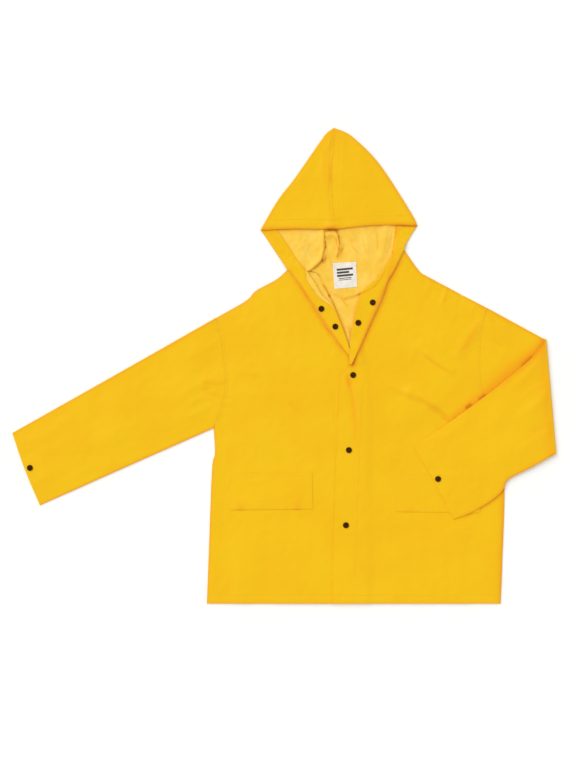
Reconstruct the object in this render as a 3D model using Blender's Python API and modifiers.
"""A hooded raincoat, laid flat on its back with the hood open, the front edges turned out at the throat
and the wearer's left sleeve folded over the front.

Each cut-and-sewn piece is one object: a wall of coated cloth, made from the middle surface worked out
here and given its thickness by a Solidify modifier. Right and left are the wearer's. X runs to the
wearer's left, Y up the coat to the tip of the hood, and Z up from the surface that the coat lies on. The
origin is under the middle of the whole. Sizes are in millimetres, and MM turns them into metres.
"""

import math

import bmesh
import bpy
import numpy as np

MM = 0.001
NAME = "hooded_raincoat"

# Cloth, and how its layers lie on each other
WALL = 1.2  # thickness of the coated cloth
MERGE = 0.01  # edges of one piece that lie this close are the same edge
SEAM = 0.3  # clear space where two pieces are sewn together
EDGE_SEAM = 0.7  # the same where a turned edge meets the seam
REST = 0.5  # clear space under a piece that lies on a panel
ROOM = 0.6  # air between the two layers of a flattened sleeve
TURN = (WALL + ROOM) / 2  # middle radius of a turned edge
LAID_RISE = WALL + REST  # from a panel to a piece that lies on it
LAPEL_RISE = 2 * TURN  # from a front to its turned-out edge
FLY_RISE = WALL + SEAM  # lift of the left front where it laps over the right one
STACK_RISE = 2.5  # more lift of its corner, over the right front's turned-out edge

# Heights of middle surfaces
BACK_Z = WALL / 2
FRONT_Z = BACK_Z + 2 * TURN
SLEEVE_Z = BACK_Z + TURN  # middle of the flattened sleeve
ELBOW_TURN = 3.0  # middle radius of the folded elbow
FOREARM_Z = 7.1  # middle of the folded forearm, over the pocket flap
CROWN_Z = 3.6  # the hood's upper layer along its folded edge
NECK_RISE = FRONT_Z + LAPEL_RISE - BACK_Z  # lift of the hood's face band where it joins a turned-out edge

# Loft: how far a layer stands above a flat one, and the run over which it gets there
FRONT_LOFT, SLEEVE_LOFT, FOREARM_LOFT, CROWN_LOFT = 1.4, 1.6, 2.6, 2.0
LOFT_RUN, NECK_RUN, BAND_RUN = 65, 42, 14
CROWN_SHARE, SLEEVE_SHARE, FOREARM_SHARE = 1 / 2, 1 / 4, 1 / 3  # the same run as a share of the piece
FLY_MARGIN, FLY_RUN = 16, 22  # how far past the hidden edge the left front stays lifted, and comes down
STACK_START, STACK_RUN = -25, 20  # its further lift, measured up from the right front's corner
LAP_END, LAP_RUN = 18, 32  # and where all the lift ends, as the fronts part
FLAP_LIFT = 0.5  # the pocket flap's loose edge

# Outlines of the pieces as they lie, each a row of x, y points. Both sides run the same way: up the side
# and the armhole, in along the shoulder and the neck to the nape, and up the front edge and the roll.
RIGHT = {
    "side": ((-182, -561), (-178, -454), (-170, -248), (-163, -206), (-166, -147)),
    "armhole": ((-166, -147), (-140, -60), (-145, 37), (-160, 113)),
    "shoulder": ((-160, 113), (-90, 153), (-66, 177), (-19, 203), (8, 226)),
    "nape": ((54, 224), (78, 217), (106, 177), (142, 159)),
    "edge": ((176, -561), (176, -281), (175, -60), (170, -10), (161, 20)),
    "roll": ((161, 20), (150, 58), (134, 100), (117, 139), (91, 165), (73, 195), (54, 224)),
    "lapel": ((157, 18), (132, 49), (109, 80), (83, 117), (43, 183), (8, 226)),
    "hood_fold": ((118, 561), (101, 549), (85, 528), (26, 443), (-14, 391), (-56, 320)),
    "hood_side": ((-56, 320), (8, 226)),
    "brim": ((118, 322), (20, 323), (-56, 320)),
    "band_outside": ((-51, 313), (8, 226)),
    "band_inside": ((-9, 312), (12, 283), (32, 252), (54, 224)),
    "flap": ((-132, -253), (66, -250), (68, -338), (-130, -340)),
}
LEFT = {
    "side": ((511, -561), (516, -430), (520, -293), (514, -206), (507, -152)),
    "armhole": ((507, -152), (468, -57), (464, 49), (479, 136)),
    "shoulder": ((479, 136), (345, 207), (319, 224), (284, 273)),
    "nape": ((252, 264), (236, 224), (212, 191), (179, 170), (142, 159)),
    "edge": ((111, -561), (120, -281), (131, -40), (141, -14), (155, 4)),
    "roll": ((155, 4), (159, 40), (163, 73), (172, 127), (186, 174), (214, 200), (236, 230), (252, 264)),
    "lapel": ((160, 3), (182, 49), (205, 101), (229, 153), (245, 198), (257, 219), (284, 273)),
    "hood_fold": ((118, 561), (144, 551), (165, 537), (210, 494), (248, 443), (302, 357), (315, 330)),
    "hood_side": ((315, 330), (288, 288), (284, 273)),
    "brim": ((118, 322), (201, 331), (262, 332), (315, 330)),
    "band_outside": ((307, 320), (288, 288), (284, 273)),
    "band_inside": ((260, 322), (256, 285), (252, 264)),
    "flap": ((463, -259), (264, -256), (263, -344), (462, -347)),
}
CROWN_SEAM = ((118, 556), (110, 470), (111, 390), (118, 322))
NAPE_SEAM_UPPER = ((118, 556), (118, 322))
NAPE_SEAM_LOWER = ((118, 322), (142, 159))
LABEL = ((115, 242), (170, 245), (173, 186), (119, 181))

# The right sleeve lies straight. The left one is folded at the elbow, over the front.
RIGHT_SLEEVE_TOP = ((-160, 113), (-400, -23), (-641, -159))
RIGHT_SLEEVE_FOOT = ((-166, -147), (-370, -237), (-576, -329))
RIGHT_CUFF = ((-641, -159), (-612, -243), (-576, -329))
ELBOW_FOLD = ((618, 63), (642, -208))
FOREARM_TOP = ((618, 63), (489, -45), (392, -127), (304, -189))
FOREARM_FOOT = ((642, -208), (526, -270), (399, -361))
LEFT_CUFF = ((304, -189), (354, -272), (399, -361))
FOREARM_MIDDLE = (630, -72, 400, -240)
FOREARM_REACH, FOREARM_RUN = 120, 40  # half its width, and the run over which the front rises beside it

# How many faces run along each stretch. Pieces that meet on a seam share its number.
SIDE_STEPS, ARM_STEPS = 18, 8
EDGE_STEPS, ROLL_STEPS = 18, 8
SHOULDER_STEPS, BAND_STEPS, NAPE_STEPS = 11, 3, 7
LAPEL_STEPS, TURN_STEPS, SLEEVE_TURN_STEPS, ELBOW_STEPS = 3, 6, 4, 8
CROWN_ROWS, CROWN_COLUMNS, HOOD_SIDE_ROWS, FACING_ROWS = 11, 7, 5, 5
SLEEVE_ROWS, UPPER_ARM_ROWS, FOREARM_ROWS = 18, 6, 14
FLAP_ROWS, FLAP_COLUMNS = 4, 8
CAP_STEPS = 16
CURVE_SAMPLES = 24  # between two points of an outline, to measure its length
FACING_SHARES = (0.04, 0.35, 0.66, 0.94)  # places across the turned-out edge
FACING_END = {"right": 1, "left": 0}  # faces left bare at its lower end, under the other front

# The folds that stand up most
FRONT_FOLDS = (
    # from x, y   to x, y   spread  high
    (296, -66,   376, -112,   15,   2.3),  # chest, towards the forearm
    (318, 42,    388, -14,    16,   1.7),  # breast
    (446, 84,    408, 26,     14,   1.6),  # pull from the shoulder seam
    (-128, -62,  -40, -70,    18,   1.0),  # pull under the right arm
)
HOOD_FOLDS = (
    # from x, y   to x, y   spread  high
    (66, 226,    92, 262,     9,    2.0),  # from the neck, up and in
    (93, 264,    96, 300,     9,    1.6),  # on to the brim
    (236, 304,   229, 262,    9,    1.8),  # pleat beside the face band
)

# Snaps: the cap's size, and the middle of each
CAP_DIAMETER, CAP_HEIGHT = 15, 2.6
FRONT_SNAPS = ((163, -22), (153, -199), (146, -376))
THROAT_SNAPS = {"right": ((88, 134), (121, 92)), "left": ((209, 149), (175, 101))}
CUFF_SNAPS = {"right": (-599, -241, SLEEVE_Z + SLEEVE_LOFT), "left": (363, -267, FOREARM_Z + FOREARM_LOFT)}

YELLOW, YELLOW_ROUGH = (0.92, 0.55, 0.010), 0.42
WHITE, WHITE_ROUGH = (0.78, 0.74, 0.66), 0.7
BLACK, BLACK_ROUGH = (0.045, 0.020, 0.004), 0.35


# Lines and surfaces in plan


def curve(points, steps):
    """A smooth line through the points (a Catmull-Rom curve), cut into equal steps along its length."""
    rows = np.array(points, float)
    padded = np.vstack([2 * rows[0] - rows[1], rows, 2 * rows[-1] - rows[-2]])
    t = np.linspace(0, 1, CURVE_SAMPLES, endpoint=False)[:, None]
    dense = []
    for before, start, end, after in zip(padded, padded[1:], padded[2:], padded[3:]):
        bend = 2 * before - 5 * start + 4 * end - after
        twist = 3 * start - before - 3 * end + after
        dense.append(start + 0.5 * t * (end - before + t * (bend + t * twist)))
    dense = np.vstack(dense + [rows[-1:]])
    run = np.concatenate([[0], np.cumsum(np.linalg.norm(np.diff(dense, axis=0), axis=1))])
    wanted = np.linspace(0, run[-1], steps + 1)
    return np.column_stack([np.interp(wanted, run, dense[:, k]) for k in (0, 1)])


def chain(*stretches):
    """One line from several, each starting where the last one ends."""
    return np.vstack([stretches[0]] + [stretch[1:] for stretch in stretches[1:]])


def patch(foot, head, first, last):
    """A Coons patch: the surface between four edges. Rows run from foot to head, columns first to last."""
    u = np.linspace(0, 1, len(foot))[None, :, None]
    v = np.linspace(0, 1, len(first))[:, None, None]
    ruled = (1 - v) * foot + v * head + (1 - u) * first[:, None] + u * last[:, None]
    corners = (1 - v) * ((1 - u) * foot[0] + u * foot[-1]) + v * ((1 - u) * head[0] + u * head[-1])
    return ruled - corners


def between(one, other, shares):
    """A plan surface with a row for each point of two lines, at the given shares of the way across."""
    share = np.array(shares, float)[None, :, None]
    return one[:, None] * (1 - share) + other[:, None] * share


def unit(vectors):
    return vectors / np.linalg.norm(vectors, axis=-1, keepdims=True)


def beside(line, distance):
    """The line moved sideways by the distance, to its left where that is positive."""
    along = unit(np.gradient(line, axis=0))
    return line + np.reshape(distance, (-1, 1)) * np.column_stack([-along[:, 1], along[:, 0]])


def raised(plan, height):
    """Plan points with their heights as the third coordinate."""
    return np.concatenate([plan, np.broadcast_to(height, plan.shape[:-1])[..., None]], axis=-1)


# Heights


def ease(t):
    """0 below 0, 1 above 1, and a smooth rise between."""
    t = np.clip(t, 0, 1)
    return t * t * (3 - 2 * t)


def away(x, y, x0, y0, x1, y1):
    """Distance to the straight stretch from x0, y0 to x1, y1."""
    run_x, run_y = x1 - x0, y1 - y0
    along = np.clip(((x - x0) * run_x + (y - y0) * run_y) / (run_x**2 + run_y**2), 0, 1)
    return np.hypot(x - x0 - along * run_x, y - y0 - along * run_y)


def folds(x, y, table):
    """The sum of the table's ridges: each is its height times a Gaussian of the distance to its stretch."""
    return sum(high * np.exp(-((away(x, y, *stretch) / spread) ** 2)) for *stretch, spread, high in table)


def under_shoulder(x, y, line):
    """How far a point is below the straight line from an armhole to the neck."""
    (x0, y0), (x1, y1) = line[0], line[-1]
    return abs(x1 - x0) / math.hypot(x1 - x0, y1 - y0) * (y0 + (x - x0) * (y1 - y0) / (x1 - x0) - y)


def right_front_height(x, y):
    """A flat layer over the back, with loft that dies away at the seams and under the folded forearm."""
    free = ease((away(x, y, *FOREARM_MIDDLE) - FOREARM_REACH) / FOREARM_RUN)
    loft = FRONT_LOFT * ease((x - RIGHT["armhole"][2][0]) / LOFT_RUN)
    loft = loft * ease((LEFT["armhole"][2][0] - x) / LOFT_RUN)
    for side in (RIGHT, LEFT):
        loft = loft * ease(under_shoulder(x, y, side["shoulder"]) / LOFT_RUN)
    return FRONT_Z + free * (loft + folds(x, y, FRONT_FOLDS))


def left_front_height(x, y):
    """The same layer, lifted where the right front and its turned-out edge lie under it."""
    lower = chain(np.array(RIGHT["edge"]), np.array(RIGHT["roll"]))
    past_edge = x - np.interp(y, lower[:, 1], lower[:, 0])
    above_corner = y - RIGHT["roll"][0][1]
    lapped = 1 - ease((past_edge - FLY_MARGIN) / FLY_RUN)
    closed = 1 - ease((above_corner - LAP_END) / LAP_RUN)
    stacked = ease((above_corner - STACK_START) / STACK_RUN)
    return right_front_height(x, y) + lapped * closed * (FLY_RISE + STACK_RISE * stacked)


def band_rise(x, y):
    """Lift of the hood's face band as it comes down to the turned-out front edge at each side of the neck."""
    neck_y = np.where(x < NAPE_SEAM_LOWER[1][0], RIGHT["shoulder"][-1][1], LEFT["shoulder"][-1][1])
    return NECK_RISE * ease((neck_y + NECK_RUN - y) / NECK_RUN)


def hood_height(x, y):
    """The hood's lower layer: flat, with the folds inside it, rising at the two ends of the neck seam."""
    ends = ease((RIGHT["roll"][-1][0] - x) / BAND_RUN) + ease((x - LEFT["roll"][-1][0]) / BAND_RUN)
    return BACK_Z + ends * band_rise(x, y) + folds(x, y, HOOD_FOLDS)


FRONT_HEIGHT = {"right": right_front_height, "left": left_front_height}
SIDES = {"right": RIGHT, "left": LEFT}


# Making objects


def finished(obj, colour, roughness):
    """Puts the object in the coat's collection, under its empty, with a material of its own."""
    collection.objects.link(obj)
    obj.parent = root
    material = bpy.data.materials.new(obj.name)
    material.use_nodes = True
    shader = material.node_tree.nodes["Principled BSDF"]
    shader.inputs["Base Color"].default_value = (*colour, 1)
    shader.inputs["Roughness"].default_value = roughness
    shader.inputs["Metallic"].default_value = 0
    obj.data.materials.append(material)
    return obj


def cloth(name, grids, colour=YELLOW, roughness=YELLOW_ROUGH):
    """A wall of cloth on one or more grids of middle points, merged where their edges coincide."""
    points, faces, count = [], [], 0
    for grid in grids:
        number = count + np.arange(grid.shape[0] * grid.shape[1]).reshape(grid.shape[:2])
        quads = (number[:-1, :-1], number[1:, :-1], number[1:, 1:], number[:-1, 1:])
        faces.append(np.stack(quads, axis=-1).reshape(-1, 4))
        points.append(grid.reshape(-1, 3))
        count += number.size
    mesh = bpy.data.meshes.new(name)
    mesh.from_pydata((np.vstack(points) * MM).tolist(), [], np.vstack(faces).tolist())
    shape = bmesh.new()
    shape.from_mesh(mesh)
    bmesh.ops.remove_doubles(shape, verts=shape.verts, dist=MERGE * MM)
    bmesh.ops.recalc_face_normals(shape, faces=shape.faces)
    shape.to_mesh(mesh)
    shape.free()
    mesh.shade_smooth()
    obj = finished(bpy.data.objects.new(name, mesh), colour, roughness)
    wall = obj.modifiers.new("Wall", "SOLIDIFY")
    wall.thickness = WALL * MM
    wall.offset = 0
    wall.use_even_offset = True
    return obj


# The pieces


def side_seams(side):
    """Up the side and the armhole, from the hem to the shoulder."""
    return chain(curve(side["side"], SIDE_STEPS), curve(side["armhole"], ARM_STEPS))


def neck_seam(side):
    """Where the hood is sewn on: past the face band, and round to the nape."""
    band = curve((side["shoulder"][-1], side["roll"][-1]), BAND_STEPS)
    return chain(band, curve(side["nape"], NAPE_STEPS))


def back():
    """The back: a flat outline from hem to shoulders, with the curve of the neck cut out of it."""
    halves = []
    for side in SIDES.values():
        halves.append(chain(side_seams(side), curve(side["shoulder"], SHOULDER_STEPS), neck_seam(side)))
    outline = np.vstack([halves[0], halves[1][-2::-1]]) * MM
    height_and_weight = np.tile((0, 1), (len(outline), 1))
    flat = bpy.data.curves.new("back", "CURVE")
    flat.dimensions = "2D"
    flat.fill_mode = "BOTH"
    flat.extrude = WALL / 2 * MM
    line = flat.splines.new("POLY")
    line.points.add(len(outline) - 1)
    line.points.foreach_set("co", np.column_stack([outline, height_and_weight]).ravel())
    line.use_cyclic_u = True
    panel = finished(bpy.data.objects.new("back", flat), YELLOW, YELLOW_ROUGH)
    panel.location.z = BACK_Z * MM


def roll_line(side):
    """The fold of the turned-out edge, moved in so that the fold's outside lies on the outline."""
    line = curve(side["roll"], ROLL_STEPS)
    line[1:, 0] += (TURN + WALL / 2) * np.sign(side["shoulder"][-1][0] - line[-1, 0])
    return line


def front(name):
    """A front: the panel up to its edge and roll line, the roll, and the turned-out edge that lies on it."""
    side, height = SIDES[name], FRONT_HEIGHT[name]
    roll = roll_line(side)
    edge = chain(curve(side["edge"], EDGE_STEPS), roll)
    seams = side_seams(side)
    hem = curve((seams[0], edge[0]), SHOULDER_STEPS + BAND_STEPS)
    band = curve((side["shoulder"][-1], roll[-1]), BAND_STEPS)
    plan = patch(hem, chain(curve(side["shoulder"], SHOULDER_STEPS), band), seams, edge)
    panel = raised(plan, height(plan[..., 0], plan[..., 1]))

    start = panel[EDGE_STEPS:, -1][:, None]
    outwards = unit(plan[EDGE_STEPS:, -1] - plan[EDGE_STEPS:, -2])
    angle = np.linspace(0, math.pi, TURN_STEPS + 1)[None, :, None]
    out, up = raised(outwards, 0)[:, None], np.array((0, 0, 1))
    turned = start + TURN * (np.sin(angle) * out + (1 - np.cos(angle)) * up)

    lies = between(roll, curve(side["lapel"], ROLL_STEPS), np.linspace(0, 1, LAPEL_STEPS + 1))
    lapel = raised(lies, height(lies[..., 0], lies[..., 1]) + LAPEL_RISE)
    cloth("front_" + name, (panel, turned, lapel))


def facing(name):
    """The band along the hood's face edge and down the turned-out front edge, on their inner side."""
    side = SIDES[name]
    outside, inside = curve(side["band_outside"], FACING_ROWS), curve(side["band_inside"], FACING_ROWS)
    on_hood = between(outside, inside, FACING_SHARES)[:-1]
    on_front = between(curve(side["lapel"], ROLL_STEPS), roll_line(side), FACING_SHARES)
    on_front = on_front[FACING_END[name] :][::-1]
    band_height = BACK_Z + band_rise(on_hood[..., 0], on_hood[..., 1])
    lapel_height = FRONT_HEIGHT[name](on_front[..., 0], on_front[..., 1]) + LAPEL_RISE
    strip = np.vstack([raised(on_hood, band_height), raised(on_front, lapel_height)])
    cloth("facing_" + name, (strip + (0, 0, LAID_RISE),))


def hood(name):
    """Half of the hood: the crown's half on top, its folded edge, and the half behind the head below."""
    side = SIDES[name]
    inwards = -1 if name == "right" else 1
    centre_gap = np.array((inwards * SEAM / 2, 0))
    turn = (CROWN_Z - BACK_Z) / 2
    fold_line = curve(side["hood_fold"], CROWN_ROWS)
    along = unit(np.gradient(fold_line, axis=0))
    outwards = inwards * np.column_stack([-along[:, 1], along[:, 0]])
    outwards *= np.sign(outwards[-1, 0] * inwards)
    outwards[0] = (0, 1)
    fold_line = fold_line - (turn + WALL / 2) * outwards
    fold_line[0] += (inwards * EDGE_SEAM, 0)

    crown_seam = curve(CROWN_SEAM, CROWN_ROWS) + centre_gap
    tip = curve((crown_seam[0], fold_line[0]), CROWN_COLUMNS)
    brim = curve((crown_seam[-1], *side["brim"][1:-1], fold_line[-1]), CROWN_COLUMNS)
    crown = patch(tip, brim, crown_seam, fold_line)
    down = np.linspace(0, 1, CROWN_ROWS + 1)[:, None]
    out = np.linspace(0, 1, CROWN_COLUMNS + 1)[None]
    upper = raised(crown, CROWN_Z + CROWN_LOFT * ease(down / CROWN_SHARE) * np.cos(out * math.pi / 2))

    angle = np.linspace(0, math.pi, TURN_STEPS + 1)[None, :, None]
    middle = raised(fold_line, BACK_Z + turn)[:, None]
    rim = middle + turn * (np.sin(angle) * raised(outwards, 0)[:, None] + np.cos(angle) * np.array((0, 0, 1)))

    open_side = curve((fold_line[-1], *side["hood_side"][1:]), HOOD_SIDE_ROWS)
    neck = beside(neck_seam(side), -inwards * SEAM)
    open_side[-1] = neck[0]
    nape_seam = chain(curve(NAPE_SEAM_UPPER, CROWN_ROWS), curve(NAPE_SEAM_LOWER, HOOD_SIDE_ROWS)) + centre_gap
    neck[-1] = nape_seam[-1] = nape_seam[-1] + (0, SEAM)
    tip = curve((nape_seam[0], fold_line[0]), BAND_STEPS + NAPE_STEPS)
    plan = patch(tip, neck[::-1], nape_seam, chain(fold_line, open_side))
    lower = raised(plan, hood_height(plan[..., 0], plan[..., 1]))
    cloth("hood_" + name, (upper, rim, lower))


def flat_tube(plan, middle, normal, upper_loft, lower_loft):
    """Rings of a flattened tube. Each is a row of plan points from one folded edge to the other, at the
    height of its middle, with the layers half the tube's depth along the normal to each side."""
    plan = plan.copy()
    first = unit(plan[:, 1] - plan[:, 0])
    last = unit(plan[:, -1] - plan[:, -2])
    plan[:, 0] += (TURN + WALL / 2) * first
    plan[:, -1] -= (TURN + WALL / 2) * last
    base, up = raised(plan, middle[:, None]), normal[:, None]
    angle = np.linspace(0, math.pi, SLEEVE_TURN_STEPS + 1)[None, :, None]
    first, last = raised(first, 0)[:, None], raised(last, 0)[:, None]
    upper = base + up * (TURN + upper_loft)[..., None]
    lower = base - up * (TURN + lower_loft)[..., None]
    far_edge = base[:, -1:] + TURN * (np.cos(angle) * up + np.sin(angle) * last)
    near_edge = base[:, :1] - TURN * (np.cos(angle) * up + np.sin(angle) * first)
    return np.concatenate([upper, far_edge[:, 1:-1], lower[:, ::-1], near_edge[:, 1:]], axis=1)


def loft_across(along):
    """Loft of a sleeve's layer: a half wave from edge to edge, as high as that of each row along it."""
    return along[:, None] * np.sin(np.linspace(0, math.pi, ARM_STEPS + 1))


def armhole_row(side, left_of_seam):
    """The sleeve's end at the armhole, from the shoulder to the armpit, clear of the front and back. Its
    turned edges meet the seam at a slant, so they stand back a little more."""
    clear = np.full(ARM_STEPS + 1, SEAM)
    clear[[0, -1]] = EDGE_SEAM
    return beside(curve(side["armhole"], ARM_STEPS), left_of_seam * clear)[::-1]


def sleeve_right():
    """The straight sleeve: one flattened tube from the armhole to the cuff."""
    armhole = armhole_row(RIGHT, 1)
    top = curve((armhole[0], *RIGHT_SLEEVE_TOP[1:]), SLEEVE_ROWS)
    foot = curve((armhole[-1], *RIGHT_SLEEVE_FOOT[1:]), SLEEVE_ROWS)
    plan = patch(armhole, curve(RIGHT_CUFF, ARM_STEPS), top, foot)
    rows = SLEEVE_ROWS + 1
    loft = loft_across(SLEEVE_LOFT * ease(np.linspace(0, 1, rows) / SLEEVE_SHARE))
    up = np.broadcast_to((0.0, 0.0, 1.0), (rows, 3))
    cloth("sleeve_right", (flat_tube(plan, np.full(rows, SLEEVE_Z), up, loft, loft * 0),))


def sleeve_left():
    """The folded sleeve: upper arm, the turn at the elbow, and the forearm back over the front."""
    fold_line = curve(ELBOW_FOLD, ARM_STEPS)
    run = unit(fold_line[-1] - fold_line[0])
    out = np.array((-run[1], run[0]))
    fold_line = fold_line - (ELBOW_TURN + TURN + WALL / 2) * out
    armhole = armhole_row(LEFT, -1)
    top = curve((armhole[0], fold_line[0]), UPPER_ARM_ROWS)
    foot = curve((armhole[-1], fold_line[-1]), UPPER_ARM_ROWS)
    upper_arm = patch(armhole, fold_line, top, foot)

    angle = np.linspace(0, math.pi, ELBOW_STEPS + 1)[1:-1]
    elbow = fold_line[None] + ELBOW_TURN * np.sin(angle)[:, None, None] * out
    top = curve((fold_line[0], *FOREARM_TOP[1:]), FOREARM_ROWS)
    foot = curve((fold_line[-1], *FOREARM_FOOT[1:]), FOREARM_ROWS)
    forearm = patch(fold_line, curve(LEFT_CUFF, ARM_STEPS), top, foot)

    plan = np.concatenate([upper_arm, elbow, forearm])
    turned = np.concatenate([np.zeros(UPPER_ARM_ROWS + 1), angle, np.full(FOREARM_ROWS + 1, math.pi)])
    normal = np.column_stack([-np.sin(turned)[:, None] * out, np.cos(turned)])
    from_elbow = np.maximum(np.arange(len(plan)) - (len(plan) - 1 - FOREARM_ROWS), 0) / FOREARM_ROWS
    rise = (FOREARM_Z - SLEEVE_Z - 2 * ELBOW_TURN) * ease(from_elbow / FOREARM_SHARE)
    middle = SLEEVE_Z + ELBOW_TURN * (1 - np.cos(turned)) + rise
    loft = loft_across(FOREARM_LOFT * ease(from_elbow / SLEEVE_SHARE))
    cloth("sleeve_left", (flat_tube(plan, middle, normal, loft * 0, loft),))


def pocket_flap(name):
    """A flap sewn on along its upper edge, lying on the front, with its loose edge a little lifted."""
    corners = np.array(SIDES[name]["flap"], float)
    upper = curve(corners[:2], FLAP_COLUMNS)
    lower = curve(corners[:1:-1], FLAP_COLUMNS)
    down = np.linspace(0, 1, FLAP_ROWS + 1)
    plan = between(upper, lower, down).transpose(1, 0, 2)
    height = FRONT_HEIGHT[name](plan[..., 0], plan[..., 1]) + FLAP_LIFT * down[:, None] ** 2
    cloth("flap_" + name, (raised(plan, height + LAID_RISE),))


def label():
    """A plain woven label, standing up from the neck seam on the inside of the hood."""
    corners = np.array(LABEL, float)
    plan = between(curve(corners[:2], 2), curve(corners[:1:-1], 2), (0, 0.5, 1))
    height = hood_height(plan[..., 0], plan[..., 1])
    cloth("label", (raised(plan, height + LAID_RISE),), WHITE, WHITE_ROUGH)


def snap(name, x, y, surface):
    """A snap's cap: a low turned dome with a rolled edge, on the cloth under it."""
    radius = CAP_DIAMETER / 2
    profile = (
        # out            up
        (0,              0.85 * CAP_HEIGHT),
        (0.55 * radius,  CAP_HEIGHT),
        (0.88 * radius,  0.85 * CAP_HEIGHT),
        (radius,         0.45 * CAP_HEIGHT),
        (radius,         0),
        (0,              0),
    )
    mesh = bpy.data.meshes.new(name)
    points = [(out * MM, 0, up * MM) for out, up in profile]
    mesh.from_pydata(points, [(k, k + 1) for k in range(len(points) - 1)], [])
    cap = finished(bpy.data.objects.new(name, mesh), BLACK, BLACK_ROUGH)
    cap.location = (x * MM, y * MM, (surface + SEAM) * MM)
    turn = cap.modifiers.new("Turn", "SCREW")
    turn.steps = turn.render_steps = CAP_STEPS
    turn.use_merge_vertices = True
    turn.merge_threshold = MERGE * MM
    turn.use_smooth_shade = True


def snaps():
    """Three down the front, two on each turned-out edge at the throat, and one on each cuff."""
    for number, (x, y) in enumerate(FRONT_SNAPS, 1):
        snap(f"snap_front_{number}", x, y, left_front_height(x, y) + WALL / 2)
    for name, places in THROAT_SNAPS.items():
        for number, (x, y) in enumerate(places, 1):
            facing_top = FRONT_HEIGHT[name](x, y) + LAPEL_RISE + LAID_RISE + WALL / 2
            snap(f"snap_throat_{name}_{number}", x, y, facing_top)
    for name, (x, y, crown) in CUFF_SNAPS.items():
        snap("snap_cuff_" + name, x, y, crown + TURN + WALL / 2)


for old in list(bpy.data.objects):
    bpy.data.objects.remove(old)
collection = bpy.data.collections.new(NAME)
bpy.context.scene.collection.children.link(collection)
root = bpy.data.objects.new(NAME, None)
collection.objects.link(root)

back()
for side_name in SIDES:
    front(side_name)
    hood(side_name)
    facing(side_name)
    pocket_flap(side_name)
sleeve_right()
sleeve_left()
label()
snaps()
